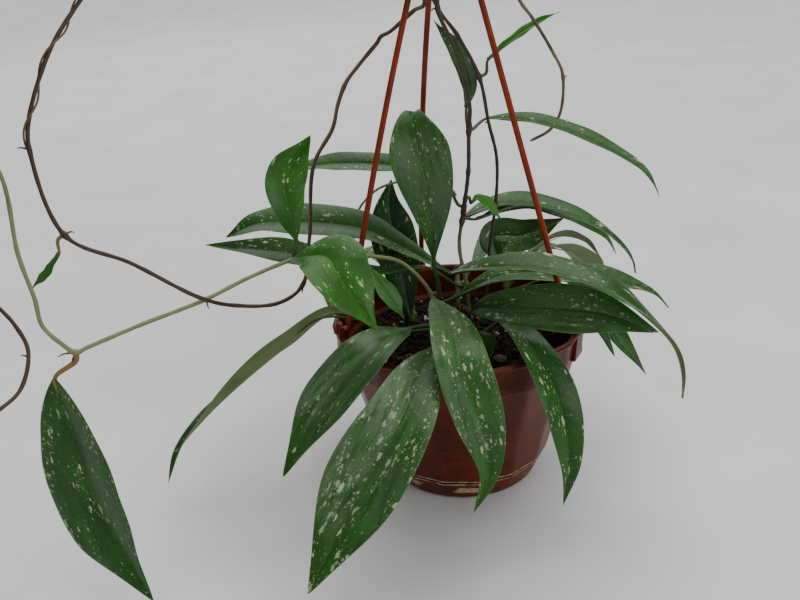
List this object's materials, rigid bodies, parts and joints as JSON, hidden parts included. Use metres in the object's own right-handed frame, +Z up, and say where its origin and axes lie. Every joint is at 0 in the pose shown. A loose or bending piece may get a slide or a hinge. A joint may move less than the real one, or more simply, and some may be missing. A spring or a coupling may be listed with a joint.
{
  "type": "potted hoya plant",
  "caption": "Trailing hoya with long speckled lance-shaped leaves and bare twining vines, in a facetted hanging pot with a clip-on saucer and a rod hanger.",
  "frame": {"origin": "centre of the saucer's flat foot, on the surface that it stands on", "axes": "+Z up along the pot's axis; -Y is the front of the plant, as pictured; +X is to its right"},
  "size_m": [0.4141, 0.3107, 0.4304],
  "materials": {
    "leaf_dark": "glossy dark green leaf with pale specks",
    "leaf_young": "glossy bright green young leaf with pale specks",
    "stem_brown": "thin brown bark",
    "stem_green": "dull grey-green stem",
    "potting_mix": "damp dark bark and peat with white grit",
    "pot_plastic": "glossy terracotta-red plastic with lime scale",
    "hanger_plastic": "glossy dark red plastic rod"
  },
  "bodies": {
    "root": {"saucer": "pot_plastic", "pot": "pot_plastic", "potting_mix": "potting_mix", "hanger_rod_left": "hanger_plastic", "hanger_rod_right": "hanger_plastic", "hanger_rod_back": "hanger_plastic", "hanger_hook": "hanger_plastic", "vine_low": "stem_green", "vine_upright": "stem_green", "vine_right": "stem_brown", "vine_loop": "stem_brown", "shoot_hanging": "stem_brown", "shoot_back": "stem_green", "stem_front": "stem_green", "stem_left_back": "stem_green", "stem_right_back": "stem_green", "stem_back": "stem_green", "leaf_upright": "leaf_dark", "leaf_upper_left": "leaf_young", "leaf_left_front": "leaf_young", "leaf_left_arching": "leaf_dark", "leaf_left_low": "leaf_dark", "leaf_back_dark": "leaf_dark", "leaf_small_bright": "leaf_young", "leaf_left_edge_on": "leaf_dark", "leaf_front_left": "leaf_dark", "leaf_front_big": "leaf_dark", "leaf_front_middle": "leaf_dark", "leaf_front_right": "leaf_dark", "leaf_right_level": "leaf_dark", "leaf_right_arching": "leaf_dark", "leaf_right_under": "leaf_dark", "leaf_right_back": "leaf_dark", "leaf_right_back_far": "leaf_dark", "leaf_olive": "leaf_dark", "leaf_broad_back": "leaf_dark", "leaf_new_pale": "leaf_young", "leaf_top_upright": "leaf_dark", "leaf_new_narrow": "leaf_young", "leaf_top_arching": "leaf_dark", "leaf_right_tip": "leaf_dark", "leaf_right_low": "leaf_dark", "leaf_middle_dark": "leaf_dark", "leaf_back_level": "leaf_dark", "leaf_hanging": "leaf_dark", "leaf_new_left": "leaf_young", "leaf_behind_left": "leaf_dark", "leaf_behind_middle": "leaf_dark", "leaf_behind_right": "leaf_dark"}
  },
  "joints": []
}
